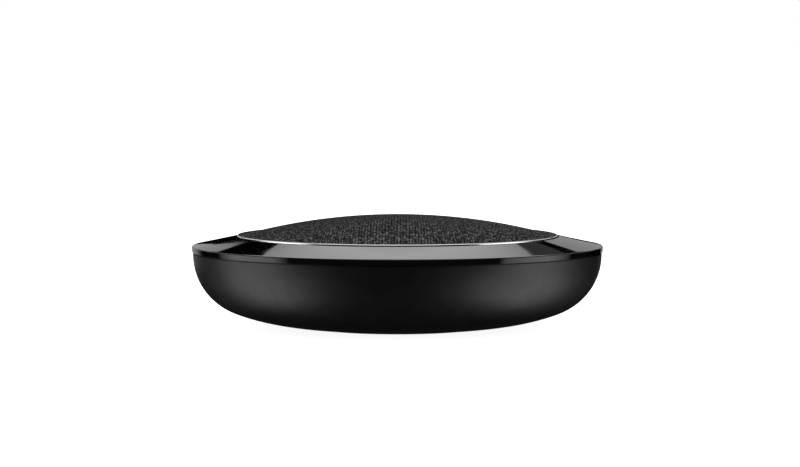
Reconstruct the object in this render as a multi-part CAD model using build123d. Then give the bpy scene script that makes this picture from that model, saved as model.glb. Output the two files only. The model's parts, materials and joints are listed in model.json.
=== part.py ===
"""Table-top conference speakerphone.

A bowl-shaped lower housing carries a sloping gloss touch ring with microphones under it, a
thin bright trim ring and a domed loudspeaker grille. A full-range driver faces up inside a
sealed cup, and a horseshoe circuit board round the cup holds the sockets of the rear recess.

Units are millimetres. The origin is on the table under the middle of the object, +Z is up,
-Y is the front and +Y is the rear, where the sockets and the power button are.
"""

import math
import os
from build123d import *

# --- Driving dimensions -----------------------------------------------------------------
BODY_R = 100.0  # largest radius, at the lip of the touch ring
DOME_TOP_Z = 54.5  # crown of the grille, the overall height
GRILLE_R = 76.3  # outer radius of the grille
TRIM_R = 77.9  # outer radius of the trim ring
TRIM_TOP_Z = 45.0
DOME_RISE = 10.2  # height of the grille's crown above its edge
RIM_R = 99.4  # outer radius of the bowl at its rim
RIM_Z = 36.3  # height of the bowl's rim
WALL = 2.4  # wall of the bowl

# Bowl outline below the rim: a drafted stretch, then arcs that flatten towards the foot.
DRAFT_ANGLE = 89.0
DRAFT_LENGTH = 1.2
BOWL_ARCS = [(30.0, 20.0), (106.0, 11.0), (150.0, 4.0)]  # (radius, slope at its lower end)

# Foot and underside
FOOT_IN_R, FOOT_OUT_R, FOOT_H = 34.5, 42.5, 1.6
LABEL_R, LABEL_T = 30.0, 0.2
FIT_GAP = 0.2  # clearance round parts that drop into a recess
BALLAST_R, BALLAST_T, BALLAST_SCREW_PCR = 44.0, 2.0, 32.0

# Touch ring
PANEL_IN_R = 78.6
PANEL_IN_Z = 44.2
PANEL_EDGE_R = 99.6
PANEL_EDGE_Z = 39.71
PANEL_DISH = 0.07  # the sloping face is this far below a straight line at its middle
PANEL_T = 1.8
SEAM_H = 0.6  # height of the shadow gap between the touch ring and the bowl
SEAM_DEPTH = 1.0

# Chassis plate that everything above the bowl hangs on
PLATE_Z = 34.4
PLATE_T = 2.5
LEDGE_Z = 41.0
WALL_TOP_Z = 43.1

# Screw towers in the bowl: top, and the seat that the screw heads pull against
TOWER_TOP_Z, TOWER_SEAT_Z = 25.5, 22.0

# Fasteners: radius of the pitch circle, then count and first angle
BASE_SCREW_PCR, BASE_SCREW_COUNT = 62.0, 6
CUP_SCREW_PCR, CUP_SCREW_COUNT = 54.4, 6
DRIVER_SCREW_PCR, DRIVER_SCREW_COUNT = 44.6, 4
BOARD_SCREW_PCR = 76.0
BOARD_SCREW_ANGLES = (0, 45, 135, 180, 222, 318)

# Microphones and status lights under the touch ring
MIC_PCR, MIC_COUNT = 91.0, 6
MIC_PORT_R = 0.3
LED_PCR, LED_COUNT = 82.6, 24
LED_BOARD_T = 0.8

# Loudspeaker: the cone assembly travels 2.5 mm each way
FLANGE_R, CONE_R, SURROUND_R = 47.0, 34.0, 41.5
COIL_R = 12.95

# Rear recess with the sockets and the button
RECESS_HALF_X, RECESS_Z0, RECESS_Z1 = 31.5, 15.5, 29.0
RECESS_FACE_Y = 88.0
RECESS_WALL = 2.0
DC_X, USB_X, LINE_X, BUTTON_X = -22.5, -8.5, 5.0, 21.0
LINE_BORE_R, LINE_BORE_L = 1.8, 14.5
BUTTON_R, BUTTON_PROUD = 3.0, 1.2
BUTTON_GAP = 0.25  # round the cap; the cap travels 0.8 mm

# Speaker lead and flat cable: the angle round the object at which each one runs
LEAD_ANGLE, LEAD_Z, LEAD_WIRE_Y = 200.0, 20.0, (-1.2, 1.2)
LEAD_R = 0.6
RIBBON_ANGLE = 165.0

# Circuit board
BOARD_IN_R, BOARD_OUT_R, BOARD_Z, BOARD_T = 67.0, 84.0, 16.0, 1.6

# --- Derived levels ---------------------------------------------------------------------
PLATE_TOP_Z = PLATE_Z + PLATE_T
PANEL_FOOT_Z = RIM_Z + SEAM_H
BOARD_TOP_Z = BOARD_Z + BOARD_T
DOME_SPHERE_R = (GRILLE_R**2 + DOME_RISE**2) / (2 * DOME_RISE)
DOME_CENTRE_Z = DOME_TOP_Z - DOME_SPHERE_R
RECESS_INNER_Y = RECESS_FACE_Y - RECESS_WALL
PANEL_SLOPE = (PANEL_IN_Z - PANEL_EDGE_Z) / (PANEL_EDGE_R - PANEL_IN_R)
LINE_Z = BOARD_TOP_Z + 3.2
USB_Z = BOARD_TOP_Z + 1.63
DC_Z = BOARD_TOP_Z + 5.5
BUTTON_Z = BOARD_TOP_Z + 3.4


# --- Helpers ----------------------------------------------------------------------------
def disc(radius, z0, z1):
    """Upright cylinder on the Z axis."""
    return Pos(0, 0, z0) * Cylinder(radius, z1 - z0, align=(Align.CENTER, Align.CENTER, Align.MIN))


def ring(r_in, r_out, z0, z1):
    """Upright tube on the Z axis."""
    return disc(r_out, z0, z1) - disc(r_in, z0 - 1, z1 + 1)


def post(pcr, angle, radius, z0, z1):
    """Upright cylinder on a pitch circle."""
    return Rot(0, 0, angle) * Pos(pcr, 0, 0) * disc(radius, z0, z1)


def block(x, y, z):
    """Box between the given pairs of x, y and z."""
    return Pos(x[0], y[0], z[0]) * Box(
        x[1] - x[0], y[1] - y[0], z[1] - z[0], align=(Align.MIN, Align.MIN, Align.MIN)
    )


def rod_y(x, z, radius, y0, y1):
    """Cylinder along Y."""
    return Pos(x, y1, z) * Rot(90, 0, 0) * disc(radius, 0, y1 - y0)


def spun(edges):
    """Solid of revolution about Z of a closed outline drawn as (radius, height)."""
    return revolve(Plane.XZ * make_face(edges), Axis.Z)


def outline(*points):
    """Closed straight-sided outline."""
    return Polyline(*points, close=True).edges()


def at_angles(solid, angles):
    """Copies of a solid turned about Z, as a list."""
    return [Rot(0, 0, angle) * solid for angle in angles]


def spread(count, start=0.0):
    """Evenly spaced angles round the circle."""
    return [start + 360.0 * i / count for i in range(count)]


def dome(radius_offset, r_max, z_floor):
    """Everything under the grille's sphere, moved in by radius_offset, inside r_max and above z_floor."""
    ball = Pos(0, 0, DOME_CENTRE_Z) * Sphere(DOME_SPHERE_R - radius_offset)
    return disc(r_max, z_floor, DOME_TOP_Z + 1) & ball


def screw(head_r, shank_r, head_z, seat_z, tip_z):
    """Cross-recessed screw on the Z axis with its head between head_z and seat_z."""
    body = disc(head_r, min(head_z, seat_z), max(head_z, seat_z))
    body += disc(shank_r, min(tip_z, seat_z), max(tip_z, seat_z))
    slot_half = head_r * 0.6
    z = (head_z - 0.7, head_z + 0.7)
    return body - at_angles(block((-0.3, 0.3), (-slot_half, slot_half), z), (0, 90))


# --- Lower housing ----------------------------------------------------------------------
def bowl_chain(inset):
    """Edges of the bowl outline moved inwards by inset, from the rim down, and both end points."""

    def inward(angle):
        return Vector(-math.sin(math.radians(angle)), math.cos(math.radians(angle)))

    def along(angle):
        return Vector(-math.cos(math.radians(angle)), -math.sin(math.radians(angle)))

    rim = Vector(RIM_R, RIM_Z) + inward(DRAFT_ANGLE) * inset
    start = rim + along(DRAFT_ANGLE) * ((rim.Y - RIM_Z) / math.sin(math.radians(DRAFT_ANGLE)))
    corner = rim + along(DRAFT_ANGLE) * DRAFT_LENGTH
    edges = [Line(start, corner)]
    point = corner
    angle = DRAFT_ANGLE
    for radius, slope in BOWL_ARCS:
        centre = point + inward(angle) * (radius - inset)
        middle = centre - inward((angle + slope) / 2) * (radius - inset)
        end = centre - inward(slope) * (radius - inset)
        edges.append(ThreePointArc(point, middle, end))
        point = end
        angle = slope
    return edges, start, point


def floor_z(inset):
    """Height of the bowl's flat middle, moved inwards by inset."""
    return bowl_chain(inset)[2].Y


def bowl_volume(inset):
    """The space inside the bowl outline moved inwards by inset, filled up to the rim."""
    edges, start, end = bowl_chain(inset)
    edges += [
        Line(end, Vector(0, end.Y)),
        Line(Vector(0, end.Y), Vector(0, RIM_Z)),
        Line(Vector(0, RIM_Z), start),
    ]
    return spun(edges)


def base_shell():
    """Bowl with screw towers, board posts, the foot groove and the rear recess."""
    outer = bowl_volume(0)
    bottom = floor_z(0)
    towers = [post(BASE_SCREW_PCR, a, 4.2, bottom, TOWER_TOP_Z) for a in spread(BASE_SCREW_COUNT)]
    posts = [post(BOARD_SCREW_PCR, a, 3.0, bottom, BOARD_Z) for a in BOARD_SCREW_ANGLES]
    recess_block = block(
        (-RECESS_HALF_X - RECESS_WALL, RECESS_HALF_X + RECESS_WALL),
        (RECESS_INNER_Y, BODY_R),
        (RECESS_Z0 - RECESS_WALL, RECESS_Z1 + RECESS_WALL),
    )
    shell = outer - bowl_volume(WALL)
    shell += (Part() + towers + posts + recess_block) & outer
    shell -= [post(BASE_SCREW_PCR, a, 3.4, -1, TOWER_SEAT_Z) for a in spread(BASE_SCREW_COUNT)]
    shell -= [post(BASE_SCREW_PCR, a, 1.7, 0, TOWER_TOP_Z + 1) for a in spread(BASE_SCREW_COUNT)]
    shell -= [post(BOARD_SCREW_PCR, a, 1.2, BOARD_Z - 6, BOARD_Z + 1) for a in BOARD_SCREW_ANGLES]
    shell -= ring(FOOT_IN_R - FIT_GAP, FOOT_OUT_R + FIT_GAP, -1, FOOT_H)
    shell -= disc(LABEL_R + FIT_GAP, -1, bottom + LABEL_T)
    shell -= ballast_screws()
    shell -= recess_cavity()
    holes = (RECESS_INNER_Y - 1, BODY_R)
    shell -= rod_y(DC_X, DC_Z, 3.4, *holes)
    shell -= usb_slot(4.8, 1.9, *holes)
    shell -= rod_y(LINE_X, LINE_Z, 3.1, *holes)
    return shell - rod_y(BUTTON_X, BUTTON_Z, BUTTON_R + BUTTON_GAP, *holes)


def recess_cavity():
    """Space of the rear recess, open to the rear, with rounded corners."""
    profile = RectangleRounded(2 * RECESS_HALF_X, RECESS_Z1 - RECESS_Z0, 3.0)
    face = Pos(0, RECESS_FACE_Y, (RECESS_Z0 + RECESS_Z1) / 2) * Rot(90, 0, 0) * profile
    return extrude(face, amount=20, dir=(0, 1, 0))


def foot_ring():
    """Rubber ring that the object stands on."""
    foot = ring(FOOT_IN_R, FOOT_OUT_R, 0, FOOT_H)
    bottom = foot.edges().group_by(Axis.Z)[0]
    return chamfer(bottom, 0.5)


def bottom_label():
    """Blank rating plate in the middle of the underside."""
    return disc(LABEL_R, floor_z(0), floor_z(0) + LABEL_T)


def ballast_plate():
    """Steel disc on the bowl's floor, countersunk for three screws."""
    plate = ring(8.0, BALLAST_R, floor_z(WALL), floor_z(WALL) + BALLAST_T)
    return plate - ballast_screws()


def ballast_screws():
    """Three countersunk screws through the ballast plate into the floor."""
    top = floor_z(WALL) + BALLAST_T
    shape = spun(outline((0, top - 3.2), (1.4, top - 3.2), (1.4, top - 1.5), (2.9, top), (0, top)))
    return at_angles(Pos(BALLAST_SCREW_PCR, 0, 0) * shape, spread(3, 30))


def base_screws():
    """Screws up through the bowl's towers into the chassis."""
    shape = screw(2.9, 1.4, TOWER_SEAT_Z - 2, TOWER_SEAT_Z, TOWER_SEAT_Z + 11)
    return at_angles(Pos(BASE_SCREW_PCR, 0, 0) * shape, spread(BASE_SCREW_COUNT))


# --- Top: touch ring, trim and grille ---------------------------------------------------
def panel_under_z(radius):
    """Height of the touch ring's underside at a radius."""
    return PANEL_IN_Z - PANEL_T - PANEL_SLOPE * (radius - PANEL_IN_R)


def touch_panel():
    """Gloss ring with a slightly dished slope, a rounded lip and six microphone ports."""
    inner_top = Vector(PANEL_IN_R, PANEL_IN_Z)
    edge_top = Vector(PANEL_EDGE_R, PANEL_EDGE_Z)
    middle = (inner_top + edge_top) / 2 - Vector(0, PANEL_DISH)
    lip_middle = Vector(99.888, 39.535)
    side_top = Vector(BODY_R, 39.22)
    side_foot = Vector(99.8, PANEL_FOOT_Z)
    skirt_r = 97.6
    edges = [
        ThreePointArc(inner_top, middle, edge_top),
        ThreePointArc(edge_top, lip_middle, side_top),
        *Polyline(
            side_top,
            side_foot,
            (skirt_r, PANEL_FOOT_Z),
            (skirt_r, panel_under_z(skirt_r)),
            (PANEL_IN_R, panel_under_z(PANEL_IN_R)),
            inner_top,
        ).edges(),
    ]
    ports = [post(MIC_PCR, a, MIC_PORT_R, 30, 50) for a in spread(MIC_COUNT, 30)]
    return spun(edges) - ports


def touch_film():
    """Flexible touch sensor under the ring, with a hole round each microphone."""
    r_in, r_out, top_gap, thick = 79.5, 96.8, 0.05, 0.4
    film = spun(
        outline(
            (r_in, panel_under_z(r_in) - top_gap),
            (r_out, panel_under_z(r_out) - top_gap),
            (r_out, panel_under_z(r_out) - top_gap - thick),
            (r_in, panel_under_z(r_in) - top_gap - thick),
        )
    )
    return film - [post(MIC_PCR, a, 3.1, 30, 50) for a in spread(MIC_COUNT, 30)]


def light_guide():
    """Frosted ring that spreads the status lights, on a thin leg notched for the flat cable."""
    leg_foot = PLATE_TOP_Z + LED_BOARD_T
    guide = ring(80.2, 85.8, leg_foot + 1.0, leg_foot + 2.1) + ring(85.0, 85.8, leg_foot, leg_foot + 1.0)
    return guide - Rot(0, 0, RIBBON_ANGLE) * block((84, 87), (-6.5, 6.5), (leg_foot - 1, leg_foot + 0.7))


def led_board():
    """Flat ring board under the light guide."""
    return ring(80.0, 86.0, PLATE_TOP_Z, PLATE_TOP_Z + LED_BOARD_T)


def status_leds():
    """Lights on the ring board."""
    z = PLATE_TOP_Z + LED_BOARD_T
    led = block((LED_PCR - 0.5, LED_PCR + 0.5), (-0.8, 0.8), (z, z + 0.7))
    return at_angles(led, spread(LED_COUNT, 7.5))


def mic_boards():
    """Small boards that hold the microphones."""
    board = block((MIC_PCR - 3.5, MIC_PCR + 3.5), (-4, 4), (PLATE_TOP_Z, PLATE_TOP_Z + 0.8))
    return at_angles(board, spread(MIC_COUNT, 30))


def mic_capsule():
    """One microphone."""
    z = PLATE_TOP_Z + 0.8
    return block((MIC_PCR - 1.5, MIC_PCR + 1.5), (-2, 2), (z, z + 0.8))


def mic_boots():
    """Rubber boots that seal each microphone to its port."""
    z = PLATE_TOP_Z + 0.8
    boot = Pos(MIC_PCR, 0, 0) * (disc(2.9, z, z + 4) - disc(0.7, z, z + 5)) - mic_capsule()
    r0, r1, gap = MIC_PCR - 5, MIC_PCR + 5, 0.05
    under_panel = spun(
        outline((r0, 30), (r1, 30), (r1, panel_under_z(r1) - gap), (r0, panel_under_z(r0) - gap))
    )
    return at_angles(boot & under_panel, spread(MIC_COUNT, 30))


def trim_ring():
    """Bright ring between the grille and the touch ring, bevelled outwards."""
    r_in = GRILLE_R + 0.2
    bevel = 0.35
    return spun(
        outline(
            (r_in, LEDGE_Z),
            (TRIM_R, LEDGE_Z),
            (TRIM_R, TRIM_TOP_Z - bevel),
            (TRIM_R - bevel, TRIM_TOP_Z),
            (r_in, TRIM_TOP_Z - 0.05),
        )
    )


def grille_dome():
    """Domed sheet-metal grille with a turned-down edge."""
    thick = 0.9
    hollow = dome(thick, GRILLE_R - thick, LEDGE_Z - 1)
    return dome(0, GRILLE_R, LEDGE_Z) - hollow


def grille_cloth():
    """Acoustic cloth stretched under the grille."""
    return dome(0.95, 74.9, 40) - dome(1.25, 76, 39)


# --- Chassis ----------------------------------------------------------------------------
def chassis():
    """Moulded plate that holds the driver, the grille and the touch ring."""
    lip_r = 79.15
    plate = spun(
        outline(
            (40.6, PLATE_Z),
            (96.6, PLATE_Z),
            (96.6, RIM_Z),
            (RIM_R - SEAM_DEPTH, RIM_Z),
            (RIM_R - SEAM_DEPTH, PLATE_TOP_Z),
            (lip_r, PLATE_TOP_Z),
            (lip_r, panel_under_z(lip_r)),
            (lip_r - 0.7, panel_under_z(lip_r)),
            (lip_r - 0.7, LEDGE_Z),
            (75.1, LEDGE_Z),
            (75.1, WALL_TOP_Z),
            (73.2, WALL_TOP_Z),
            (73.2, PLATE_TOP_Z),
            (40.6, PLATE_TOP_Z),
        )
    )
    plate += [post(BASE_SCREW_PCR, a, 3.8, TOWER_TOP_Z, PLATE_Z + 1) for a in spread(BASE_SCREW_COUNT)]
    plate -= [post(BASE_SCREW_PCR, a, 1.45, 25, 33.6) for a in spread(BASE_SCREW_COUNT)]
    plate -= [post(CUP_SCREW_PCR, a, 1.15, 34, 36.5) for a in spread(CUP_SCREW_COUNT, 30)]
    plate -= [post(DRIVER_SCREW_PCR, a, 1.15, 34, 38) for a in spread(DRIVER_SCREW_COUNT, 45)]
    ribbon_slot = block((86.8, 89.2), (-7, 7), (30, 40))
    return plate - Rot(0, 0, RIBBON_ANGLE) * ribbon_slot


# --- Loudspeaker ------------------------------------------------------------------------
def speaker_basket():
    """Pressed frame with six windows."""
    frame = spun(
        outline(
            (16.5, 24.1),
            (28.0, 24.1),
            (40.2, 37.0),
            (40.2, 37.7),
            (FLANGE_R, 37.7),
            (FLANGE_R, 39.2),
            (38.7, 39.2),
            (38.7, 37.6),
            (28.0, 26.2),
            (28.0, 27.6),
            (25.2, 27.6),
            (25.2, 25.3),
            (16.5, 25.3),
        )
    )
    window = block((27, 45), (-11, 11), (28.4, 35.4))
    frame -= at_angles(window, spread(6, LEAD_ANGLE + 30))
    return frame - [post(DRIVER_SCREW_PCR, a, 1.3, 30, 45) for a in spread(DRIVER_SCREW_COUNT, 45)]


def basket_gasket():
    """Foam ring between the driver and the chassis."""
    gasket = ring(41.0, 46.5, PLATE_TOP_Z, 37.7)
    return gasket - [post(DRIVER_SCREW_PCR, a, 1.3, 30, 45) for a in spread(DRIVER_SCREW_COUNT, 45)]


def speaker_screws():
    """Screws through the driver's flange."""
    shape = Pos(DRIVER_SCREW_PCR, 0, 0) * screw(2.2, 1.1, 40.6, 39.2, 34.6)
    return at_angles(shape, spread(DRIVER_SCREW_COUNT, 45))


def magnet_yoke():
    """Back plate and pole of the motor."""
    return disc(28.0, 8.6, 12.1) + disc(12.2, 12.1, 24.6)


def speaker_surround():
    """Half-roll edge between the cone and the flange."""
    z, t = 39.2, 0.5
    roll = (39.5 + CONE_R) / 2
    outer, inner = (39.5 - CONE_R) / 2 + t, (39.5 - CONE_R) / 2
    edges = [
        Line((SURROUND_R, z), (SURROUND_R, z + t)),
        Line((SURROUND_R, z + t), (roll + outer, z + t)),
        ThreePointArc((roll + outer, z + t), (roll, z + t + outer), (roll - outer, z + t)),
        Line((roll - outer, z + t), (CONE_R - 1.6, z + t)),
        Line((CONE_R - 1.6, z + t), (CONE_R - 1.6, z)),
        Line((CONE_R - 1.6, z), (roll - inner, z)),
        ThreePointArc((roll - inner, z), (roll, z + inner), (roll + inner, z)),
        Line((roll + inner, z), (SURROUND_R, z)),
    ]
    return spun(edges)


def speaker_spider():
    """Corrugated disc that centres the voice coil."""
    z, t, wave, turns = 27.6, 0.4, 0.7, 4
    r_in, r_out = COIL_R + 0.02, 27.2
    pitch = (25.2 - 16.0) / turns
    low = [(r_in, z)] + [
        (16.0 + pitch * (i + s), z + h) for i in range(turns) for s, h in ((0.0, 0.0), (0.5, wave))
    ]
    low += [(25.2, z), (r_out, z)]
    high = [(r, h + t) for r, h in reversed(low)]
    return spun(outline(*low, *high))


def speaker_cone():
    """Paper cone with a flat rim and a neck round the former."""
    neck_r, t = COIL_R + 0.02, 0.6
    return spun(
        outline(
            (CONE_R, 38.6),
            (CONE_R, 39.2),
            (CONE_R - 1.5, 39.2),
            (14.4, 30.8),
            (neck_r + t, 30.2),
            (neck_r + t, 31.6),
            (neck_r, 31.6),
            (neck_r, 29.4),
            (14.6, 29.8),
            (CONE_R - 1.3, 38.6),
        )
    )


def dust_cap():
    """Small dome over the voice coil."""
    r, z, rise, t = 17.0, 32.1, 3.6, 0.5
    sphere_r = (r**2 + rise**2) / (2 * rise)
    ball = Pos(0, 0, z + rise - sphere_r) * (Sphere(sphere_r) - Sphere(sphere_r - t))
    return ball & disc(r, z, z + rise + 1)


def enclosure_profile(inset):
    """Inside or outside of the cup behind the driver."""
    return disc(52.0 - inset, 5.4 + inset, 33.4 + inset)


def speaker_enclosure():
    """Cup that closes the air behind the driver, with a flange and a hole for the lead."""
    cup = enclosure_profile(0) + ring(50, 57, 31.4, 33.4) - enclosure_profile(2)
    cup -= disc(50, 30, 40)
    cup -= [post(CUP_SCREW_PCR, a, 1.3, 30, 35) for a in spread(CUP_SCREW_COUNT, 30)]
    return cup - lead_hole(2.4)


def lead_hole(radius):
    """Cylinder through the cup's wall where the speaker lead leaves it."""
    hole = Pos(46, 0, LEAD_Z) * Rot(0, 90, 0) * disc(radius, 0, 12)
    return Rot(0, 0, LEAD_ANGLE) * hole


def lead_grommet():
    """Rubber grommet in the cup's wall."""
    body = Pos(49.0, 0, LEAD_Z) * Rot(0, 90, 0) * (disc(2.35, 0, 4.2) + disc(3.2, 3.3, 4.5))
    holes = [Pos(45.0, y, LEAD_Z) * Rot(0, 90, 0) * disc(0.75, 0, 12) for y in LEAD_WIRE_Y]
    return Rot(0, 0, LEAD_ANGLE) * (body - holes)


def speaker_lead():
    """Two wires from the driver's terminals through the grommet to the board."""
    route = [(35.2, 27.3), (40.2, 27.3), (45.0, LEAD_Z), (56.5, LEAD_Z), (63.5, 19.2), (71.0, 19.2)]
    path = Plane.XZ * FilletPolyline(*route, radius=[4.1, 7.0, 30.0, 30.0])
    section = Plane(origin=path @ 0, z_dir=path % 0) * Circle(LEAD_R)
    wire = sweep(section, path=path)
    return [Rot(0, 0, LEAD_ANGLE) * (Pos(0, y, 0) * wire) for y in LEAD_WIRE_Y]


def terminal_strip():
    """Solder tags on the basket."""
    strip = block((30.6, 35.2), (-4, 4), (26.4, 28.2))
    return Rot(0, 0, LEAD_ANGLE) * strip - speaker_basket()


# --- Circuit board ----------------------------------------------------------------------
def main_board():
    """Horseshoe board, open at the front."""
    board = ring(BOARD_IN_R, BOARD_OUT_R, BOARD_Z, BOARD_TOP_Z)
    board -= block((-30, 30), (-90, -60), (10, 20))
    return board - [post(BOARD_SCREW_PCR, a, 1.4, 10, 20) for a in BOARD_SCREW_ANGLES]


def board_screws():
    """Screws that hold the board on the bowl's posts."""
    shape = Pos(BOARD_SCREW_PCR, 0, 0) * screw(2.3, 1.15, BOARD_TOP_Z + 1.4, BOARD_TOP_Z, 10.5)
    return at_angles(shape, BOARD_SCREW_ANGLES)


def on_board(angle, depth, width, height, radius=BOARD_SCREW_PCR):
    """Box standing on the board at an angle: depth is radial and width runs round the board."""
    return Rot(0, 0, angle) * block(
        (radius - depth / 2, radius + depth / 2),
        (-width / 2, width / 2),
        (BOARD_TOP_Z, BOARD_TOP_Z + height),
    )


def board_chips():
    """Sound processor, memory and codec."""
    return [on_board(150, 12, 12, 1.2), on_board(12, 6, 6, 1.0), on_board(212, 8, 7, 1.0)]


def amplifier_heatsink():
    """Finned block over the amplifier."""
    fins = [on_board(26, 1.0, 14, 8, radius=BOARD_SCREW_PCR + x) for x in (-5.5, -3.3, -1.1, 1.1, 3.3, 5.5)]
    return on_board(26, 12, 14, 2) + fins


def board_capacitors():
    """Can capacitors beside the power socket."""
    cans = [post(BOARD_SCREW_PCR + r, a, 2.9, BOARD_TOP_Z, BOARD_TOP_Z + 7) for a, r in ((120, -3), (120, 4))]
    return cans + [post(BOARD_SCREW_PCR, a, 2.9, BOARD_TOP_Z, BOARD_TOP_Z + 7) for a in (126, 330)]


def ribbon_connector():
    """Flat-cable connector on the board."""
    return on_board(RIBBON_ANGLE, 4, 14, 2.0, radius=77.0)


def lead_connector():
    """Two-pin connector for the speaker lead."""
    body = on_board(LEAD_ANGLE, 5, 7, 3.4, radius=72.3)
    holes = [Pos(69, y, 19.2) * Rot(0, 90, 0) * disc(0.65, 0, 2.2) for y in LEAD_WIRE_Y]
    return body - [Rot(0, 0, LEAD_ANGLE) * hole for hole in holes]


def touch_ribbon():
    """Flat cable from the ring board through the chassis to the main board."""
    route = [(84.2, 37.85), (88.0, 37.85), (88.0, 27.0), (84.0, 18.8), (79.0, 18.8)]
    path = Plane.XZ * FilletPolyline(*route, radius=[1.6, 12.0, 3.5])
    section = Plane(origin=path @ 0, x_dir=(0, 1, 0), z_dir=path % 0) * Rectangle(12, 0.25)
    return Rot(0, 0, RIBBON_ANGLE) * sweep(section, path=path)


# --- Sockets and button -----------------------------------------------------------------
def usb_slot(half_x, half_z, y0, y1):
    """Slot with round ends along Y at the data socket."""
    height = 2 * half_z
    face = Pos(USB_X, y0, USB_Z) * Rot(90, 0, 0) * RectangleRounded(2 * half_x, height, half_z - 0.01)
    return extrude(face, amount=y1 - y0, dir=(0, 1, 0))


def dc_jack():
    """Power socket with a round mouth."""
    body_front = RECESS_INNER_Y - 0.8
    body = block((DC_X - 4.5, DC_X + 4.5), (72, body_front), (BOARD_TOP_Z, DC_Z + 5.5))
    body += rod_y(DC_X, DC_Z, 4.3, body_front, RECESS_INNER_Y)
    return body - rod_y(DC_X, DC_Z, 2.9, 75.5, 90)


def dc_jack_pin():
    """Centre pin of the power socket."""
    return rod_y(DC_X, DC_Z, 1.0, 75.5, 85.0)


def usb_socket():
    """Metal shell of the data socket."""
    front = RECESS_FACE_Y - 0.4
    return usb_slot(4.47, 1.63, 79.0, front) - usb_slot(4.17, 1.33, 80.0, BODY_R)


def usb_tongue():
    """Contact tongue of the data socket."""
    return block((USB_X - 3.3, USB_X + 3.3), (80.0, 86.2), (USB_Z - 0.35, USB_Z + 0.35))


def line_jack():
    """3.5 mm socket whose ferrule fills the hole in the recess face."""
    bore_end = RECESS_FACE_Y - LINE_BORE_L
    half = 3.2
    body = block(
        (LINE_X - half, LINE_X + half), (bore_end - 1, RECESS_INNER_Y), (BOARD_TOP_Z, LINE_Z + half)
    )
    body += rod_y(LINE_X, LINE_Z, 3.0, RECESS_INNER_Y, RECESS_FACE_Y)
    return body - rod_y(LINE_X, LINE_Z, LINE_BORE_R, bore_end, BODY_R)


def button_switch():
    """Side-acting switch body on the board."""
    body = block((BUTTON_X - 3, BUTTON_X + 3), (76.5, 82.0), (BOARD_TOP_Z, BOARD_TOP_Z + 6.4))
    return body - rod_y(BUTTON_X, BUTTON_Z, 1.7, 78.6, 83)


def switch_plunger():
    """Sliding plunger of the switch."""
    return rod_y(BUTTON_X, BUTTON_Z, 1.6, 79.8, 83.6)


def power_button_cap():
    """Round push button with a collar that keeps it in the housing."""
    front = RECESS_FACE_Y + BUTTON_PROUD
    cap = rod_y(BUTTON_X, BUTTON_Z, BUTTON_R, 83.6, front)
    cap = chamfer(cap.edges().group_by(Axis.Y)[-1], 0.4)
    return cap + rod_y(BUTTON_X, BUTTON_Z, BUTTON_R + 1.0, 84.6, RECESS_INNER_Y - 0.1)


def nodes():
    """Every node by name. A list is one node of several separate solids."""
    return {
        "base_shell": base_shell(),
        "foot_ring": foot_ring(),
        "bottom_label": bottom_label(),
        "ballast_plate": ballast_plate(),
        "ballast_screws": ballast_screws(),
        "base_screws": base_screws(),
        "chassis": chassis(),
        "touch_panel": touch_panel(),
        "touch_film": touch_film(),
        "light_guide": light_guide(),
        "led_board": led_board(),
        "status_leds": status_leds(),
        "mic_boards": mic_boards(),
        "mic_capsules": at_angles(mic_capsule(), spread(MIC_COUNT, 30)),
        "mic_boots": mic_boots(),
        "trim_ring": trim_ring(),
        "grille_dome": grille_dome(),
        "grille_cloth": grille_cloth(),
        "speaker_basket": speaker_basket(),
        "basket_gasket": basket_gasket(),
        "speaker_screws": speaker_screws(),
        "magnet_yoke": magnet_yoke(),
        "magnet_ring": ring(16.0, 30.0, 12.1, 20.6),
        "magnet_top_plate": ring(13.95, 28.0, 20.6, 24.1),
        "speaker_surround": speaker_surround(),
        "speaker_spider": speaker_spider(),
        "speaker_cone": speaker_cone(),
        "dust_cap": dust_cap(),
        "voice_coil_former": ring(COIL_R - 0.3, COIL_R, 17.6, 31.6),
        "voice_coil": ring(COIL_R, COIL_R + 0.5, 17.9, 26.9),
        "speaker_enclosure": speaker_enclosure(),
        "enclosure_gasket": ring(50.5, 53.0, 33.4, PLATE_Z),
        "enclosure_screws": at_angles(
            Pos(CUP_SCREW_PCR, 0, 0) * screw(2.3, 1.1, 30.0, 31.4, 36.3), spread(CUP_SCREW_COUNT, 30)
        ),
        "terminal_strip": terminal_strip(),
        "speaker_lead": speaker_lead(),
        "lead_grommet": lead_grommet(),
        "lead_connector": lead_connector(),
        "main_board": main_board(),
        "board_screws": board_screws(),
        "board_chips": board_chips(),
        "shield_can": on_board(340, 11, 14, 2.4),
        "amplifier_heatsink": amplifier_heatsink(),
        "board_capacitors": board_capacitors(),
        "ribbon_connector": ribbon_connector(),
        "touch_ribbon": touch_ribbon(),
        "dc_jack": dc_jack(),
        "dc_jack_pin": dc_jack_pin(),
        "usb_socket": usb_socket(),
        "usb_tongue": usb_tongue(),
        "line_jack": line_jack(),
        "button_switch": button_switch(),
        "switch_plunger": switch_plunger(),
        "power_button_cap": power_button_cap(),
    }


os.makedirs("parts", exist_ok=True)
for name, shape in nodes().items():
    solids = [s for item in (shape if isinstance(shape, list) else [shape]) for s in item.solids()]
    export_step(solids[0] if len(solids) == 1 else Compound(children=solids), f"parts/{name}.step")
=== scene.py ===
"""Looks of the table-top speakerphone: a finish for every CAD node, a white studio, and the pieces
that stand for CAD nodes, which are the perforated grille, the finely turned touch ring, and the
surround and spider, each made in sectors."""

import json
import math

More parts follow.
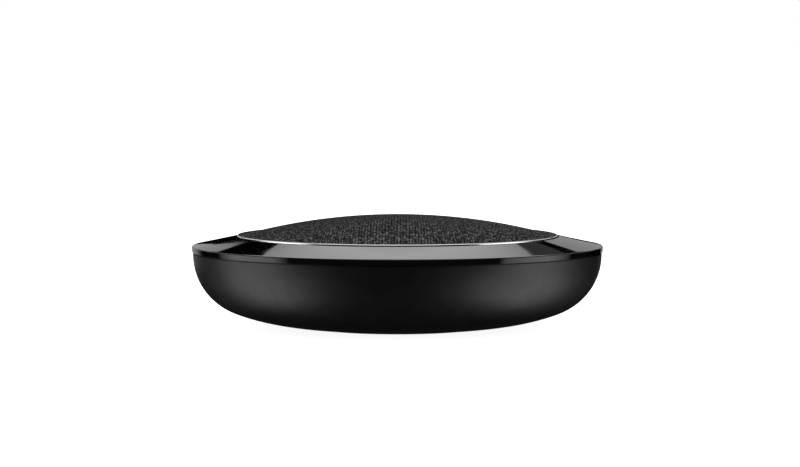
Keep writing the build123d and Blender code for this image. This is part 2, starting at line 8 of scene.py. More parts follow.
import bpy
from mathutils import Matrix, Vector


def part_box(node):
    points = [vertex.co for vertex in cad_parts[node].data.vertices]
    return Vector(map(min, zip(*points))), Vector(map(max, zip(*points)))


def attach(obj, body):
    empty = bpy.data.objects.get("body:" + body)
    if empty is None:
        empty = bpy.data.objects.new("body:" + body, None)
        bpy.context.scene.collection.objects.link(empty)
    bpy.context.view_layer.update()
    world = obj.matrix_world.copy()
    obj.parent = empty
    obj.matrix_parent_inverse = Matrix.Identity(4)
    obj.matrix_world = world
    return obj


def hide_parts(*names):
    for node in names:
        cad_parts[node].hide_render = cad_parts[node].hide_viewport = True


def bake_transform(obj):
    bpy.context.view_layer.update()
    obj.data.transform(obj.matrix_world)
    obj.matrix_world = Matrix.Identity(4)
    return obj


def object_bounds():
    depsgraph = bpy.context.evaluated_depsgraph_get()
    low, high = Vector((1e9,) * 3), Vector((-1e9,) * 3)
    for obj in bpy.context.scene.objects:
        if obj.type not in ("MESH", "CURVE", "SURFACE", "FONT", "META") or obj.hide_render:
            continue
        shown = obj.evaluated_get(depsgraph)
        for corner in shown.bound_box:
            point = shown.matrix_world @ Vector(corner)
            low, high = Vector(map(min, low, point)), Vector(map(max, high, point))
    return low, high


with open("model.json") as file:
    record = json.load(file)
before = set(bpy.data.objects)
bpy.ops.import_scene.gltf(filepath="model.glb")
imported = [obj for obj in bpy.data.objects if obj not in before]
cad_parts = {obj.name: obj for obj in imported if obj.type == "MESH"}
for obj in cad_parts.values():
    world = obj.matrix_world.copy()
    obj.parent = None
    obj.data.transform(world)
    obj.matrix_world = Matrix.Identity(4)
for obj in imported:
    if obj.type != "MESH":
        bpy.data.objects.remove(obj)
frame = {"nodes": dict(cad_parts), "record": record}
cad_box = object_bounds()
MM = 0.001


# --- Materials --------------------------------------------------------------------------
class Finish:
    """A Principled material whose inputs are driven by textures in object space, in metres."""

    def __init__(self, name, **sockets):
        self.name = name
        self.material = bpy.data.materials.new(name)
        self.material.use_nodes = True
        self.nodes = self.material.node_tree.nodes
        self.links = self.material.node_tree.links
        self.shader = self.nodes["Principled BSDF"]
        for socket, value in sockets.items():
            self.shader.inputs[socket.replace("_", " ")].default_value = value
        self.place = self.nodes.new("ShaderNodeTexCoord").outputs["Object"]

    def node(self, kind, wires=None, **settings):
        """A new node with its settings, and with values or outputs on its inputs."""
        made = self.nodes.new("ShaderNode" + kind)
        for key, value in settings.items():
            setattr(made, key, value)
        for key, value in (wires or {}).items():
            if isinstance(value, bpy.types.NodeSocket):
                self.links.new(value, made.inputs[key])
            else:
                made.inputs[key].default_value = value
        return made

    def noise(self, size_mm, detail=2.0, place=None, stretch=None):
        """Noise whose features are about size_mm across, from 0 to 1."""
        place = place or self.place
        if stretch:
            place = self.node("Mapping", {0: place, "Scale": stretch}).outputs[0]
        wires = {"Vector": place, "Scale": 1 / (size_mm * MM), "Detail": detail}
        return self.node("TexNoise", wires).outputs["Fac"]

    def spread(self, factor, low, high, start=0.3, end=0.7):
        """factor from start to end becomes low to high."""
        wires = {"Value": factor, "From Min": start, "From Max": end, "To Min": low, "To Max": high}
        return self.node("MapRange", wires).outputs[0]

    def blend(self, factor, first, second):
        """Mix of two colours or colour outputs."""
        made = self.node("Mix", data_type="RGBA")
        for place, value in ((0, factor), (6, first), (7, second)):
            if isinstance(value, bpy.types.NodeSocket):
                self.links.new(value, made.inputs[place])
            else:
                made.inputs[place].default_value = value if place == 0 else (*value, 1)
        return made.outputs[2]

    def maths(self, operation, first, second=0.0):
        """One mathematical operation."""
        return self.node("Math", {0: first, 1: second}, operation=operation).outputs[0]

    def wave(self, value, pitch_mm):
        """Sine of a length output, from 0 to 1, with the given pitch."""
        turned = self.maths("MULTIPLY", value, 2 * math.pi / (pitch_mm * MM))
        return self.spread(self.maths("SINE", turned), 0.0, 1.0, -1.0, 1.0)

    def axes(self):
        """X, Y and Z outputs of the place."""
        return self.node("SeparateXYZ", {0: self.place}).outputs

    def radius(self):
        """Distance from the Z axis."""
        flat = self.node("Mapping", {0: self.place, "Scale": (1, 1, 0)}).outputs[0]
        return self.node("VectorMath", {0: flat}, operation="LENGTH").outputs["Value"]

    def polar(self, radial=1.0, around=0.02, height=1.0):
        """Place as (radius, arc, height), each stretched, so that noise runs round the axis."""
        x, y, z = self.axes()
        arc = self.maths("MULTIPLY", self.maths("ARCTAN2", y, x), 0.1 * around)
        wires = {
            0: self.maths("MULTIPLY", self.radius(), radial),
            1: arc,
            2: self.maths("MULTIPLY", z, height),
        }
        return self.node("CombineXYZ", wires).outputs[0]

    def colour(self, output):
        self.links.new(output, self.shader.inputs["Base Color"])
        return self

    def rough(self, output):
        self.links.new(output, self.shader.inputs["Roughness"])
        return self

    def bump(self, height, depth_mm, strength=1.0):
        """Relief of depth_mm, on top of the relief made before."""
        wires = {"Height": height, "Distance": depth_mm * MM, "Strength": strength}
        before = self.shader.inputs["Normal"].links
        if before:
            wires["Normal"] = before[0].from_socket
        self.links.new(self.node("Bump", wires).outputs[0], self.shader.inputs["Normal"])
        return self


# Added to every channel of the lighter colour, so that a black drifts too.
DRIFT_LIFT = 0.0004


def moulded(name, colour, rough=(0.38, 0.5), grain=0.35, relief=0.012, shift=1.35, **sockets):
    """Moulded plastic or rubber: a fine eroded grain, a slow drift of colour and gloss."""
    made = Finish(name, **sockets)
    drift = made.noise(14.0, 3.0)
    grain_noise = made.noise(grain, 2.0)
    lighter = [min(1.0, channel * shift + DRIFT_LIFT) for channel in colour]
    made.colour(made.blend(drift, colour, lighter))
    made.rough(made.spread(made.noise(6.0, 4.0), *rough))
    return made.bump(grain_noise, relief)


def metal(name, colour, rough=(0.25, 0.4), lay="round", relief=0.004, tint=0.75, **sockets):
    """Metal with the fine marks of its making: turned, drawn along X, or none in particular."""
    made = Finish(name, Metallic=1.0, **sockets)
    if lay == "round":
        marks = made.noise(0.12, 2.0, made.polar())
    elif lay == "straight":
        marks = made.noise(0.15, 2.0, stretch=(0.02, 1, 1))
    else:
        marks = made.noise(0.5, 3.0)
    darker = [channel * tint for channel in colour]
    made.colour(made.blend(made.noise(9.0, 3.0), colour, darker))
    made.rough(made.spread(marks, *rough))
    return made.bump(marks, relief)


def gloss_panel():
    """High-gloss black touch surface: moulded waviness, fine hairlines and a little haze."""
    made = Finish("gloss_panel", Base_Color=(0.002, 0.002, 0.0025, 1), IOR=1.5)
    hairlines = made.noise(0.2, 1.0, stretch=(1, 0.03, 1))
    made.rough(made.spread(made.noise(18.0, 5.0), 0.02, 0.05))
    made.colour(made.blend(made.noise(10.0), (0.0018, 0.0018, 0.0022), (0.003, 0.003, 0.0034)))
    made.bump(made.noise(40.0, 1.0), 0.004)
    return made.bump(hairlines, 0.0003)


def bright_trim():
    """Satin silver plating on the thin ring, drawn round its length."""
    made = Finish("bright_trim", Metallic=1.0)
    marks = made.noise(0.1, 2.0, made.polar(around=0.05))
    made.colour(made.blend(marks, (0.78, 0.78, 0.8), (0.9, 0.9, 0.91)))
    made.rough(made.spread(marks, 0.12, 0.2))
    return made.bump(marks, 0.0015)


def grille_coat():
    """Black powder coat on the perforated sheet, uneven and slightly burred from the punching; its
    lighter flecks are painted glints.
    """
    made = Finish("grille_metal", Specular_IOR_Level=0.2)
    grain = made.noise(1.1, 1.0, stretch=(1, 0.35, 1))
    # Painted glints: lighter flecks in the colour, where the coat is also glossier.
    painted_glint_flecks = made.spread(grain, 0, 1, 0.44, 0.62)
    made.colour(made.blend(painted_glint_flecks, (0.002, 0.002, 0.0022), (0.026, 0.026, 0.027)))
    made.rough(made.spread(painted_glint_flecks, 0.75, 0.3, 0, 1))
    made.bump(grain, 0.25)
    return made.bump(made.noise(0.22, 3.0), 0.02)


def woven(name, dark, light, pitch=0.5, relief=0.06, roughness=(0.8, 0.95)):
    """Plain weave: two crossed sets of threads."""
    made = Finish(name, Sheen_Weight=0.15)
    x, y, _ = made.axes()
    warp = made.wave(x, pitch)
    weft = made.wave(y, pitch)
    cross = made.maths("MAXIMUM", warp, weft)
    made.colour(made.blend(made.maths("MULTIPLY", cross, made.noise(0.8)), dark, light))
    made.rough(made.spread(made.noise(2.0), *roughness))
    return made.bump(cross, relief)


def board():
    """Green solder mask over copper: fine traces and gold pads."""
    made = Finish("green_board", Coat_Weight=0.3, Coat_Roughness=0.2)
    cells = {"Vector": made.place, "Scale": 1 / (2.4 * MM)}
    ways = made.node("TexVoronoi", cells, distance="CHEBYCHEV", feature="F1")
    traces = made.spread(ways.outputs["Distance"], 0.0, 1.0, 0.42, 0.46)
    pads = made.spread(ways.outputs["Distance"], 1.0, 0.0, 0.10, 0.13)
    mask = made.blend(traces, (0.006, 0.07, 0.028), (0.012, 0.13, 0.05))
    made.colour(made.blend(pads, mask, (0.62, 0.42, 0.12)))
    made.rough(made.spread(made.noise(1.2, 3.0), 0.3, 0.5))
    return made.bump(traces, 0.03)


def winding():
    """Enamelled copper wire in close turns up the former."""
    made = Finish("coil_copper", Metallic=1.0)
    turns = made.wave(made.axes()[2], 0.3)
    made.colour(made.blend(turns, (0.24, 0.07, 0.03), (0.7, 0.3, 0.14)))
    made.rough(made.spread(made.noise(1.5), 0.25, 0.4))
    return made.bump(turns, 0.08)


def capacitor_sleeve():
    """Dark sleeve round each can, with a bare scored metal top."""
    made = Finish("capacitor_sleeve")
    up = made.node("SeparateXYZ", {0: made.nodes.new("ShaderNodeNewGeometry").outputs["Normal"]})
    top = made.maths("GREATER_THAN", up.outputs[2], 0.9)
    sleeve = made.blend(made.noise(3.0), (0.012, 0.014, 0.035), (0.02, 0.022, 0.05))
    made.links.new(top, made.shader.inputs["Metallic"])
    made.colour(made.blend(top, sleeve, (0.7, 0.7, 0.72)))
    made.rough(made.spread(made.noise(0.4), 0.25, 0.42))
    return made.bump(made.noise(0.3), 0.01)


RIBBON_ANGLE = math.radians(165)


def flat_cable():
    """Flat cable: parallel conductors under a pale film."""
    made = Finish("ribbon_film", Coat_Weight=0.3, Coat_Roughness=0.25)
    x, y, _ = made.axes()
    share_y = made.maths("MULTIPLY", y, math.cos(RIBBON_ANGLE))
    share_x = made.maths("MULTIPLY", x, math.sin(RIBBON_ANGLE))
    wires = made.wave(made.maths("SUBTRACT", share_y, share_x), 1.0)
    lines = made.spread(wires, 0, 1, 0.45, 0.6)
    made.colour(made.blend(lines, (0.78, 0.76, 0.7), (0.5, 0.47, 0.4)))
    made.rough(made.spread(made.noise(2.0), 0.35, 0.5))
    return made.bump(wires, 0.05)


def sensor_film():
    """Amber flexible circuit with a fine electrode mesh."""
    made = Finish("sensor_film", Coat_Weight=0.4, Coat_Roughness=0.15)
    x, y, _ = made.axes()
    lines = made.maths("MAXIMUM", made.wave(x, 2.5), made.wave(y, 2.5))
    copper = made.spread(lines, 0.0, 1.0, 0.93, 0.96)
    made.colour(made.blend(copper, (0.3, 0.11, 0.02), (0.5, 0.24, 0.1)))
    made.rough(made.spread(made.noise(3.0), 0.28, 0.42))
    return made.bump(copper, 0.02)


LABEL_FRAME_R = 27.0 * MM
LABEL_LINE = 0.25 * MM


def label_foil():
    """Blank rating label: silver-grey film with a faint printed frame."""
    made = Finish("label_foil", Metallic=0.6)
    frame_line = made.maths("COMPARE", made.radius(), LABEL_FRAME_R)
    frame_line.node.inputs[2].default_value = LABEL_LINE
    film = made.blend(made.noise(0.15, 2.0), (0.2, 0.205, 0.21), (0.27, 0.275, 0.28))
    made.colour(made.blend(frame_line, film, (0.03, 0.03, 0.03)))
    made.rough(made.spread(made.noise(4.0), 0.4, 0.55))
    return made.bump(made.noise(0.4), 0.01)


def finishes():
    """Every material slot of the record, by name."""
    black = (0.0016, 0.0016, 0.0018)
    made = [
        moulded("bowl_plastic", black, rough=(0.38, 0.44), grain=0.25, relief=0.004, IOR=1.5),
        moulded("foot_rubber", (0.012, 0.012, 0.012), rough=(0.7, 0.85), grain=0.5, relief=0.03),
        label_foil(),
        metal("ballast_steel", (0.5, 0.5, 0.52), (0.3, 0.5), lay="straight"),
        metal("zinc_screws", (0.62, 0.62, 0.6), (0.25, 0.4), lay="none"),
        metal("black_screws", (0.05, 0.05, 0.052), (0.3, 0.45), lay="none"),
        moulded("chassis_plastic", (0.004, 0.004, 0.0045), rough=(0.45, 0.6), grain=0.4),
        gloss_panel(),
        sensor_film(),
        moulded("frosted_guide", (0.7, 0.7, 0.68), (0.45, 0.6), shift=1.1, Transmission_Weight=0.4),
        board(),
        moulded("led_body", (0.75, 0.66, 0.25), (0.25, 0.4), shift=1.15),
        metal("mic_metal", (0.75, 0.62, 0.35), (0.25, 0.4), lay="none"),
        bright_trim(),
        grille_coat(),
        woven("acoustic_cloth", (0.001, 0.001, 0.001), (0.004, 0.004, 0.004), pitch=0.35),
        moulded("basket_metal", (0.012, 0.012, 0.013), (0.35, 0.5), grain=0.6, relief=0.02),
        moulded("gasket_foam", (0.012, 0.012, 0.012), (0.85, 0.95), grain=0.4, relief=0.06),
        moulded("magnet_ferrite", (0.05, 0.05, 0.053), (0.6, 0.8), grain=0.9, relief=0.05),
        metal("motor_steel", (0.6, 0.58, 0.5), (0.28, 0.42)),
        moulded("surround_rubber", (0.008, 0.008, 0.008), (0.5, 0.65), grain=0.4, relief=0.01),
        woven("spider_cloth", (0.3, 0.17, 0.05), (0.6, 0.42, 0.18), pitch=0.7),
        moulded("cone_paper", (0.014, 0.014, 0.014), (0.7, 0.9), grain=1.2, relief=0.06),
        metal("former_paper", (0.7, 0.7, 0.7), (0.3, 0.45)),
        winding(),
        moulded("cup_plastic", (0.006, 0.006, 0.0065), (0.4, 0.55), grain=0.5, relief=0.015),
        moulded("lead_insulation", (0.35, 0.015, 0.01), (0.35, 0.5), grain=0.8, relief=0.01),
        moulded("connector_plastic", (0.68, 0.62, 0.48), (0.4, 0.55), shift=1.1),
        moulded("chip_epoxy", (0.008, 0.008, 0.009), (0.5, 0.65), grain=0.2),
        metal("tinplate", (0.7, 0.7, 0.68), (0.2, 0.35), lay="straight"),
        metal("heatsink_alu", (0.06, 0.06, 0.065), (0.35, 0.5), lay="straight"),
        capacitor_sleeve(),
        flat_cable(),
        moulded("jack_plastic", (0.006, 0.006, 0.006), (0.4, 0.55), grain=0.3),
        metal("contact_metal", (0.85, 0.62, 0.28), (0.18, 0.3), lay="straight"),
        metal("socket_steel", (0.62, 0.62, 0.62), (0.2, 0.32), lay="straight"),
        moulded("switch_plastic", (0.012, 0.012, 0.012), (0.4, 0.55), grain=0.3),
        moulded("button_plastic", (0.02, 0.02, 0.022), (0.3, 0.42), grain=0.25, relief=0.004),
    ]
    return {one.name: one.material for one in made}


def dress(materials):
    """Gives every CAD node the finish of its slot in the record."""
    for entry in frame["record"]["subparts"]:
        node = frame["nodes"][entry["node"]]
        for place in node.material_slots:
            place.material = materials[entry["material_slot"]]


# --- Pieces -----------------------------------------------------------------------------
def piece(name, vertices, faces, material, smooth_angle=None):
    """A new mesh object with one material."""
    mesh = bpy.data.meshes.new(name)
    mesh.from_pydata(vertices, [], faces)
    mesh.validate()
    made = bpy.data.objects.new(name, mesh)
    bpy.context.scene.collection.objects.link(made)
    mesh.materials.append(material)
    if smooth_angle is not None:
        mesh.shade_smooth()
        mesh.set_sharp_from_angle(angle=math.radians(smooth_angle))
    return made


GRILLE_PITCH = 1.35 * MM
GRILLE_HOLE_R = 0.46 * MM
GRILLE_SHEET = 0.6 * MM
GRILLE_RINGS = 55
# Name, first ring and last ring of each mesh that the sheet is made in.
GRILLE_ZONES = (
    ("grille_inner", 0, 31),
    ("grille_middle", 32, 45),
    ("grille_outer", 46, GRILLE_RINGS + 1),
)
RIM_ROLL_R = 0.5 * MM
# A point further out than this share of the radius is on the edge.
EDGE_SHARE = 0.999
# Steps from a cell of the hexagonal lattice to its six neighbours, in order round it.
AXIAL_STEPS = [(1, 0), (0, 1), (-1, 1), (-1, 0), (0, -1), (1, -1)]


def grille_sphere():
    """Edge radius, foot height and the sphere (centre height, radius) of the CAD grille."""
    low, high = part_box("grille_dome")
    edge_r = high.x
    points = [vertex.co for vertex in frame["nodes"]["grille_dome"].data.vertices]
    edge_z = max(point.z for point in points if point.xy.length > edge_r * EDGE_SHARE)
    rise = high.z - edge_z
    sphere_r = (edge_r**2 + rise**2) / (2 * rise)
    return edge_r, low.z, high.z - sphere_r, sphere_r


def hole_centres(rings):
    """Hole centres in plan on concentric rings of 6k, keyed by their place in a hexagonal lattice."""
    centres = {(0, 0): Vector((0, 0))}
    for ring in range(1, rings + 1):
        a, b = AXIAL_STEPS[4][0] * ring, AXIAL_STEPS[4][1] * ring
        for count in range(6 * ring):
            angle = -math.pi / 2 + 2 * math.pi * count / (6 * ring)
            centres[a, b] = Vector((math.cos(angle), math.sin(angle))) * ring * GRILLE_PITCH
            step = AXIAL_STEPS[(count // ring) % 6]
            a, b = a + step[0], b + step[1]
    return centres


def lattice_ring(a, b):
    """Which ring a place in the hexagonal lattice is on."""
    return max(abs(a), abs(b), abs(a + b))


class Perforated:
    """Collects the vertices and faces of a band of the perforated dome, as one closed piece."""

    def __init__(self, centres):
        self.centres = centres
        self.centre_z, self.sphere_r = grille_sphere()[2:]
        self.vertices, self.faces, self.known, self.edges = [], [], {}, {}

    def lift(self, flat, depth=0.0):
        """Point of the dome above a point in plan, moved inwards by depth."""
        height = math.sqrt(self.sphere_r**2 - flat.length_squared)
        normal = Vector((flat.x, flat.y, height)) / self.sphere_r
        return Vector((flat.x, flat.y, self.centre_z + height)) - normal * depth

    def corner(self, spot, depth=0.0):
        """A corner of a hole, as (cell, turn): even turns point at a neighbour, odd ones between
        two. With no turn it is the cell's centre."""
        if (spot, depth) in self.known:
            return self.known[spot, depth]
        cell, turn = spot
        flat = self.centres[cell]
        if turn is not None:
            ways = []
            for step in {turn // 2 % 6, (turn + 1) // 2 % 6}:
                near = (cell[0] + AXIAL_STEPS[step][0], cell[1] + AXIAL_STEPS[step][1])
                ways.append((self.centres[near] - flat).normalized())
            flat = flat + sum(ways, Vector((0, 0))).normalized() * GRILLE_HOLE_R
        self.known[spot, depth] = len(self.vertices)
        self.vertices.append(self.lift(flat, depth))
        return self.known[spot, depth]

    def web(self, near, step):
        """The sheet between three neighbouring holes. A place on the outermost ring has no hole."""
        outline = []
        for place, first in zip(near, (2 * step, 2 * step + 4, 2 * step + 8)):
            if lattice_ring(*place) > GRILLE_RINGS:
                outline.append((place, None))
            else:
                outline += [(place, (first + 2 - k) % 12) for k in range(3)]
        self.faces.append(tuple(self.corner(spot) for spot in outline))
        self.faces.append(tuple(self.corner(spot, GRILLE_SHEET) for spot in reversed(outline)))
        for edge in zip(outline, outline[1:] + outline[:1]):
            if self.edges.pop(frozenset(edge), None) is None:
                self.edges[frozenset(edge)] = edge

    def walls(self):
        """Walls down through the sheet, along each edge that only one web has."""
        for start, end in self.edges.values():
            top = (self.corner(end), self.corner(start))
            self.faces.append((*top, self.corner(start, GRILLE_SHEET), self.corner(end, GRILLE_SHEET)))


def perforated_zone(name, first, last, centres, material):
    """The sheet round the holes of rings first to last."""
    zone = Perforated(centres)
    for cell in centres:
        for step in (0, 1):
            ways = (AXIAL_STEPS[step], AXIAL_STEPS[step + 1])
            near = [cell] + [(cell[0] + way[0], cell[1] + way[1]) for way in ways]
            outer = max(lattice_ring(*place) for place in near)
            if first <= outer <= last and all(place in centres for place in near):
                zone.web(near, step)
    zone.walls()
    made = piece(name, zone.vertices, zone.faces, material, smooth_angle=40)
    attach(made, "housing")
    return made


def grille_rim(material):
    """The plain edge of the grille: a narrow band, a rolled shoulder and the turned-down skirt."""
    edge_r, foot_z, centre_z, sphere_r = grille_sphere()
    start_r = (GRILLE_RINGS + 1) * GRILLE_PITCH
    roll_r = edge_r - RIM_ROLL_R
    roll_z = centre_z + math.sqrt(sphere_r**2 - roll_r**2) - RIM_ROLL_R
    profile = [(start_r, centre_z + math.sqrt(sphere_r**2 - start_r**2))]
    for angle in (math.radians(15 + 12.5 * k) for k in range(7)):
        profile.append((roll_r + RIM_ROLL_R * math.sin(angle), roll_z + RIM_ROLL_R * math.cos(angle)))
    inside_r = edge_r - GRILLE_SHEET
    shrink = 1 - GRILLE_SHEET / sphere_r
    profile += [
        (edge_r, foot_z),
        (inside_r, foot_z),
        (inside_r, centre_z + math.sqrt(sphere_r**2 - inside_r**2) * shrink),
        (start_r * shrink, centre_z + math.sqrt(sphere_r**2 - start_r**2) * shrink),
    ]
    made = spin("grille_rim", profile, 6 * (GRILLE_RINGS + 1), material, smooth_angle=50)
    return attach(made, "housing")


def build_grille(material):
    """The perforated dome in three zones and its rim, in place of the plain CAD dome."""
    centres = hole_centres(GRILLE_RINGS + 1)
    made = [perforated_zone(*zone, centres, material) for zone in GRILLE_ZONES]
    for part in (*made, grille_rim(material)):
        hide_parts("grille_dome")


PANEL_IN_R = 78.6 * MM
PANEL_FACE_R = 99.6 * MM
PANEL_FACE_DROP = 4.49 * MM
PANEL_DISH = 0.07 * MM
PANEL_THICK = 1.8 * MM
LIP_ROUND = 0.5 * MM
SKIRT_IN_R = 97.6 * MM
PORT_R = 0.3 * MM
PORT_PCR = 91.0 * MM
PANEL_STEPS = 24
PANEL_TURN_STEPS = 720
# How far the face's outer edge is above the middle of the lip's rounding, as a share of its radius.
LIP_RISE_SHARE = 0.98
SKIRT_TAPER = 0.2 * MM


def panel_profile():
    """Section of the touch ring as (radius, height): dished face, rounded lip, skirt, underside."""
    low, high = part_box("touch_panel")
    slope = PANEL_FACE_DROP / (PANEL_FACE_R - PANEL_IN_R)
    profile = []
    for k in range(PANEL_STEPS + 1):
        t = k / PANEL_STEPS
        height = high.z - PANEL_FACE_DROP * t - 4 * PANEL_DISH * t * (1 - t)
        profile.append((PANEL_IN_R + (PANEL_FACE_R - PANEL_IN_R) * t, height))
    round_r = high.x - LIP_ROUND
    round_z = high.z - PANEL_FACE_DROP - LIP_ROUND * LIP_RISE_SHARE
    for angle in (math.radians(70 - 10 * k) for k in range(8)):
        profile.append((round_r + LIP_ROUND * math.cos(angle), round_z + LIP_ROUND * math.sin(angle)))
    skirt_under = high.z - PANEL_THICK - slope * (SKIRT_IN_R - PANEL_IN_R)
    profile += [
        (high.x - SKIRT_TAPER, low.z),
        (SKIRT_IN_R, low.z),
        (SKIRT_IN_R, skirt_under),
        (PANEL_IN_R, high.z - PANEL_THICK),
    ]
    return profile


def spin(name, profile, count, material, smooth_angle):
    """A closed section turned round the Z axis."""
    vertices, faces = [], []
    for radius, height in profile:
        for k in range(count):
            angle = 2 * math.pi * k / count
            vertices.append((radius * math.cos(angle), radius * math.sin(angle), height))
    for row in range(len(profile)):
        below = (row + 1) % len(profile)
        for k in range(count):
            n = (k + 1) % count
            faces.append((row * count + k, below * count + k, below * count + n, row * count + n))
    return piece(name, vertices, faces, material, smooth_angle)


def drill(target, radius, circle_r, count, first_angle):
    """Cuts a ring of upright holes through the touch ring."""
    low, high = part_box("touch_panel")
    sides, vertices, faces = 24, [], []
    for hole in range(count):
        turn = math.radians(first_angle) + 2 * math.pi * hole / count
        x, y = circle_r * math.cos(turn), circle_r * math.sin(turn)
        start = len(vertices)
        for z in (low.z - MM, high.z + MM):
            for k in range(sides):
                a = 2 * math.pi * k / sides
                vertices.append((x + radius * math.cos(a), y + radius * math.sin(a), z))
        for k in range(sides):
            n = (k + 1) % sides
            faces.append((start + k, start + n, start + sides + n, start + sides + k))
        faces.append(tuple(start + sides - 1 - k for k in range(sides)))
        faces.append(tuple(start + sides + k for k in range(sides)))
    cutter = piece("port_cutter", vertices, faces, target.data.materials[0])
    cut = target.modifiers.new("ports", "BOOLEAN")
    cut.operation, cut.solver, cut.object = "DIFFERENCE", "EXACT", cutter
    cut_target = target.evaluated_get(bpy.context.evaluated_depsgraph_get())
    result = bpy.data.meshes.new_from_object(cut_target)
    target.modifiers.clear()
    target.data = result
    bpy.data.objects.remove(cutter)


def build_touch_ring(material):
    """The gloss ring, turned finely enough to hold sharp reflections, with its microphone ports."""
    made = spin("touch_ring", panel_profile(), PANEL_TURN_STEPS, material, smooth_angle=30)
    drill(made, PORT_R, PORT_PCR, count=6, first_angle=30)
    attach(made, "housing")
    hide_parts("touch_panel")


FLEX_SECTORS = 24
FLEX_STEPS = 6
ROLL_STEPS = 12
CONE_RIM_R = 34.0 * MM
SURROUND_IN_R = 32.4 * MM
SURROUND_R = 41.5 * MM
SURROUND_THICK = 0.5 * MM
FLANGE_IN_R = 39.5 * MM
SPIDER_IN_R = 12.97 * MM
SPIDER_OUT_R = 27.2 * MM
SPIDER_THICK = 0.4 * MM
SPIDER_WAVE = 0.7 * MM
# Inner and outer radius of the corrugations, and how many there are.
SPIDER_WAVES = (16.0 * MM, 25.2 * MM, 4)


def surround_section():
    """Underside and top of the half-roll surround, as (radius, height)."""
    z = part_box("speaker_surround")[0].z
    roll_r = (FLANGE_IN_R + CONE_RIM_R) / 2
    sides = []
    for lift in (0.0, SURROUND_THICK):
        roll = FLANGE_IN_R - roll_r + lift
        side = [(SURROUND_IN_R, z + lift)]
        for angle in (math.pi * (1 - k / ROLL_STEPS) for k in range(ROLL_STEPS + 1)):
            side.append((roll_r + roll * math.cos(angle), z + lift + roll * math.sin(angle)))
        sides.append(side + [(SURROUND_R, z + lift)])
    return sides


def spider_section():
    """Underside and top of the corrugated spider, as (radius, height)."""
    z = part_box("speaker_spider")[0].z
    first, last, waves = SPIDER_WAVES
    under = [(SPIDER_IN_R, z)]
    for k in range(2 * waves + 1):
        under.append((first + (last - first) * k / (2 * waves), z + SPIDER_WAVE * (k % 2)))
    under.append((SPIDER_OUT_R, z))
    return under, [(radius, height + SPIDER_THICK) for radius, height in under]


def flexing_ring(name, node, sides, still_in, still_out, materials, slot):
    """A flexible ring in equal sectors, each a closed piece in its rest shape that meets its neighbours.
    still_in and still_out are not used."""
    under, top = sides
    section = under + top[::-1]
    size = len(section)
    turn = 2 * math.pi / FLEX_SECTORS
    for sector in range(FLEX_SECTORS):
        vertices, faces = [], []
        for k in range(FLEX_STEPS + 1):
            angle = turn * (sector + k / FLEX_STEPS)
            vertices += [(r * math.cos(angle), r * math.sin(angle), z) for r, z in section]
        for k in range(FLEX_STEPS):
            for i in range(size):
                n = (i + 1) % size
                faces.append((k * size + i, (k + 1) * size + i, (k + 1) * size + n, k * size + n))
        for i in range(len(under) - 1):
            end = (i, i + 1, size - 2 - i, size - 1 - i)
            faces.append(end)
            faces.append(tuple(FLEX_STEPS * size + corner for corner in reversed(end)))
        made = piece(f"{name}_{sector + 1:02d}", vertices, faces, materials[slot], smooth_angle=40)
        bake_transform(made)
        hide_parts(node)


def build_driver_flex(materials):
    """The surround and the spider, each made in sectors."""
    roll = (CONE_RIM_R, FLANGE_IN_R)
    waves = SPIDER_WAVES[:2]
    flexing_ring("surround", "speaker_surround", surround_section(), *roll, materials, "surround_rubber")
    flexing_ring("spider", "speaker_spider", spider_section(), *waves, materials, "spider_cloth")


# --- Studio -----------------------------------------------------------------------------
def glow_material(name):
    """Emission whose strength is the mesh's own glow attribute."""
    material = bpy.data.materials.new(name)
    material.use_nodes = True
    nodes, links = material.node_tree.nodes, material.node_tree.links
    nodes.clear()
    glow = nodes.new("ShaderNodeAttribute")
    glow.attribute_name = "glow"
    light = nodes.new("ShaderNodeEmission")
    out = nodes.new("ShaderNodeOutputMaterial")
    links.new(glow.outputs["Fac"], light.inputs["Strength"])
    links.new(light.outputs[0], out.inputs["Surface"])
    return material


def card(name, low, high, distance=300.0):
    """A far card that only the gloss sees. low and high are its lower and upper edges, each an
    elevation and then the azimuth and strength of every stop from left to right. Azimuth 0 is
    behind the object and 90 is on its right."""
    rows, columns = 24, 16
    vertices, faces, glow = [], [], []
    for i in range(rows + 1):
        up = i / rows
        elevation = math.radians(low[0] + (high[0] - low[0]) * up)
        stops = [[a + (b - a) * up for a, b in zip(*pair)] for pair in zip(low[1:], high[1:])]
        for k in range(columns * (len(stops) - 1) + 1):
            place, across = divmod(k, columns)
            start, end = stops[place], stops[min(place + 1, len(stops) - 1)]
            azimuth, strength = (a + (b - a) * across / columns for a, b in zip(start, end))
            azimuth = math.radians(azimuth)
            flat = math.cos(elevation) * distance
            height = math.sin(elevation) * distance
            vertices.append((math.sin(azimuth) * flat, math.cos(azimuth) * flat, height))
            glow.append(strength)
    across = len(vertices) // (rows + 1)
    for i in range(rows):
        for k in range(across - 1):
            corner = i * across + k
            faces.append((corner, corner + 1, corner + across + 1, corner + across))
    made = piece(name, vertices, faces, glow_material(name))
    made.data.attributes.new("glow", "FLOAT", "POINT").data.foreach_set("value", glow)
    made.visible_camera = False
    made.visible_diffuse = False
    made.visible_shadow = False


def floor():
    """A plain pale floor, bright enough to run into the white backdrop."""
    reach, steps = 9.0, 64
    vertices = [(0, 0, 0)]
    vertices += [
        (reach * math.cos(2 * math.pi * k / steps), reach * math.sin(2 * math.pi * k / steps), 0)
        for k in range(steps)
    ]
    faces = [(0, k + 1, (k + 1) % steps + 1) for k in range(steps)]
    made = Finish("pale_floor", Emission_Color=(1, 1, 1, 1), Emission_Strength=0.9)
    made.colour(made.blend(made.noise(60.0), (0.85, 0.85, 0.85), (0.87, 0.87, 0.87)))
    made.rough(made.spread(made.noise(25.0), 0.75, 0.85))
    ground = piece("floor", vertices, faces, made.material)
    ground.visible_glossy = False
    ground.visible_diffuse = False
    ground.visible_shadow = False


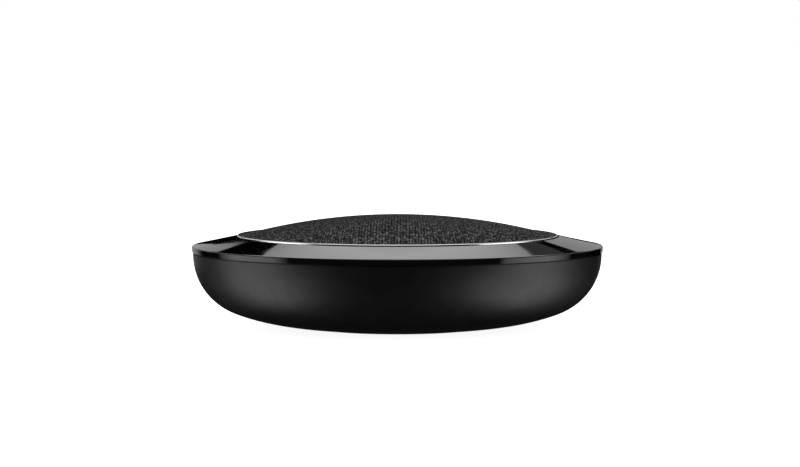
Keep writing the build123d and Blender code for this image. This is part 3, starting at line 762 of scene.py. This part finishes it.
def backdrop():
    """White surroundings that the gloss doesn't see."""
    world = bpy.data.worlds.new("white_studio")
    bpy.context.scene.world = world
    world.use_nodes = True
    world.node_tree.nodes["Background"].inputs["Color"].default_value = (1, 1, 1, 1)
    world.node_tree.nodes["Background"].inputs["Strength"].default_value = 1.0
    world.cycles_visibility.glossy = False
    world.cycles_visibility.transmission = False


def lights():
    """Far cards: a tall one behind with dim low ones beside it, broad ones at both sides that
    reach below the table's height, and dim ones overhead and high in front."""
    card("card_back", (20.7, (-14, 0.62), (14, 0.62)), (27.5, (-14, 1.42), (14, 1.42)))
    card("card_back_top", (27.5, (-14, 1.42), (14, 1.42)), (50, (-14, 0.9), (14, 0.9)))
    card("card_overhead", (60, (-100, 0.8), (100, 0.8)), (114, (-100, 0.8), (100, 0.8)))
    card("card_left_high", (16, (-40, 0.7), (-18, 0.7)), (60, (-100, 0.6), (-22, 0.6)))
    card("card_right_high", (16, (22, 0.5), (40, 0.5)), (60, (22, 0.6), (100, 0.6)))
    card("card_front_high", (36, (120, 0.8), (240, 0.8)), (66, (120, 0.8), (240, 0.8)))
    seam = (8.3, (-40, 0), (-28, 0.44), (-5.9, 0.44))
    card("card_left_low", (-8, (-40, 0), (-28, 0.42), (-3.23, 0.42)), seam)
    card("card_left_mid", seam, (14, (-40, 0), (-28, 0.46), (-6.5, 0.46)))
    card("card_right_low", (1.8, (3, 0.34), (20, 0.34)), (14.0, (3, 0.46), (20, 0.46)))
    card("card_right_edge", (-8, (7, 0.34), (20, 0.34)), (1.8, (7, 0.34), (20, 0.34)))
    card("card_right_gap", (16.4, (3, 0.07), (20, 0.07)), (20.7, (3, 0.07), (20, 0.07)))
    left = [(-118, 0), (-107, 1.7), (-98, 1.95), (-80, 1.85), (-62, 0)]
    right = [(67, 0), (88, 1.95), (104, 1.95), (117, 1.3), (122, 0)]
    card("card_left", (-19, *left), (14, *left))
    card("card_right", (-19, *right), (14, *right))
    left_table = [(-142, 0), (-120, 1.4), (-98, 1.95), (-78, 1.8), (-58, 0)]
    left_floor = [(-116, 0), (-102, 1.2), (-88, 1.9), (-65, 1.7), (-40, 0)]
    right_table = [(58, 0), (82, 1.95), (100, 2.0), (126, 1.6), (150, 0)]
    right_floor = [(40, 0), (65, 1.8), (92, 2.1), (112, 1.5), (130, 0)]
    card("card_left_under", (-55, *left_floor), (-19, *left_table))
    card("card_right_under", (-55, *right_floor), (-19, *right_table))


CAMERA_REACH = 1.516
CAMERA_ELEVATION = math.radians(4.24)
CAMERA_SHIFT = (0.0033, 0.0464)
# Half the object's width, as a share of the picture's width.
HALF_WIDTH_SHARE = 0.2571


def camera():
    """A long lens a little above the table, with the object low in the frame."""
    low, high = cad_box
    data = bpy.data.cameras.new("camera")
    half_angle = math.asin((high.x - low.x) / 2 / CAMERA_REACH)
    data.sensor_width = 36.0
    data.lens = data.sensor_width * HALF_WIDTH_SHARE / math.tan(half_angle)
    data.shift_x, data.shift_y = CAMERA_SHIFT
    data.clip_end = 30.0
    made = bpy.data.objects.new("camera", data)
    bpy.context.scene.collection.objects.link(made)
    aim = Vector((0, 0, (low.z + high.z) / 2))
    back = Vector((0, -math.cos(CAMERA_ELEVATION), math.sin(CAMERA_ELEVATION)))
    made.location = aim + back * CAMERA_REACH
    made.rotation_mode = "QUATERNION"
    made.rotation_quaternion = (-back).to_track_quat("-Z", "Y")
    bpy.context.scene.camera = made


materials = finishes()
dress(materials)
build_grille(materials["grille_metal"])
build_touch_ring(materials["gloss_panel"])
build_driver_flex(materials)
floor()
backdrop()
lights()
camera()
bpy.context.scene.view_settings.view_transform = "Standard"
